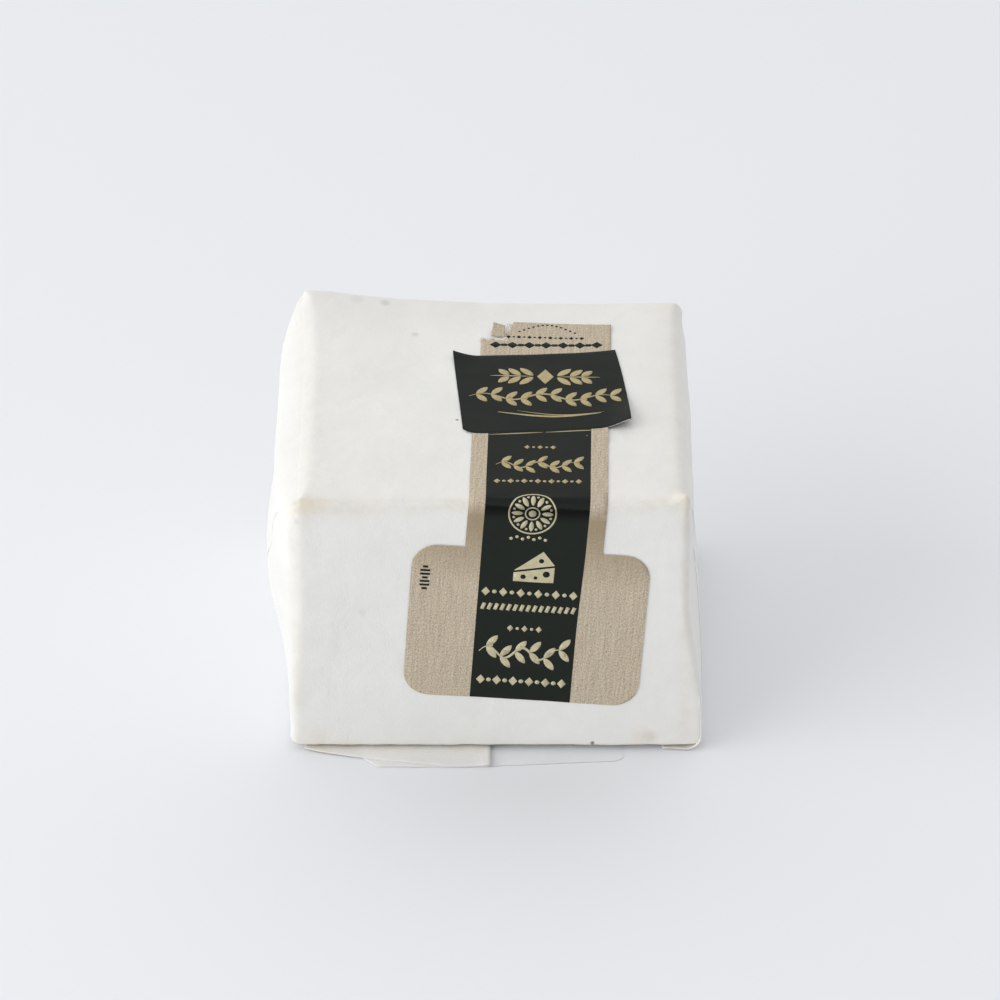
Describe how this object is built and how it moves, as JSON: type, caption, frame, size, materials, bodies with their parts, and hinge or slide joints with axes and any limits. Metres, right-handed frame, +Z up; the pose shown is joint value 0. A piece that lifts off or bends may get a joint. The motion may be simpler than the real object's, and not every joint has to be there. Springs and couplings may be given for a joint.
{
  "type": "paper-wrapped square soft cheese",
  "caption": "Square portion of soft cheese in a folded white waxed-paper wrapper, with a long buff and black label bent over its front top edge.",
  "frame": {"origin": "middle of the whole portion's footprint, on the surface it rests on", "axes": "+Z up out of the top face, -Y out of the front face that carries the label's plate, +X to the right seen from the front; X is the longest side because the folded ends stand out"},
  "size_m": [0.0696, 0.0648, 0.0479],
  "materials": {
    "soft_cheese": "soft bloomy rind",
    "waxed_paper": "satin",
    "buff_label": "matt laid buff paper printed in black and gold",
    "white_label": "satin"
  },
  "bodies": {
    "root": {"cheese": "soft_cheese", "wrapper": "waxed_paper", "label": "buff_label", "base_label": "white_label"}
  },
  "joints": []
}
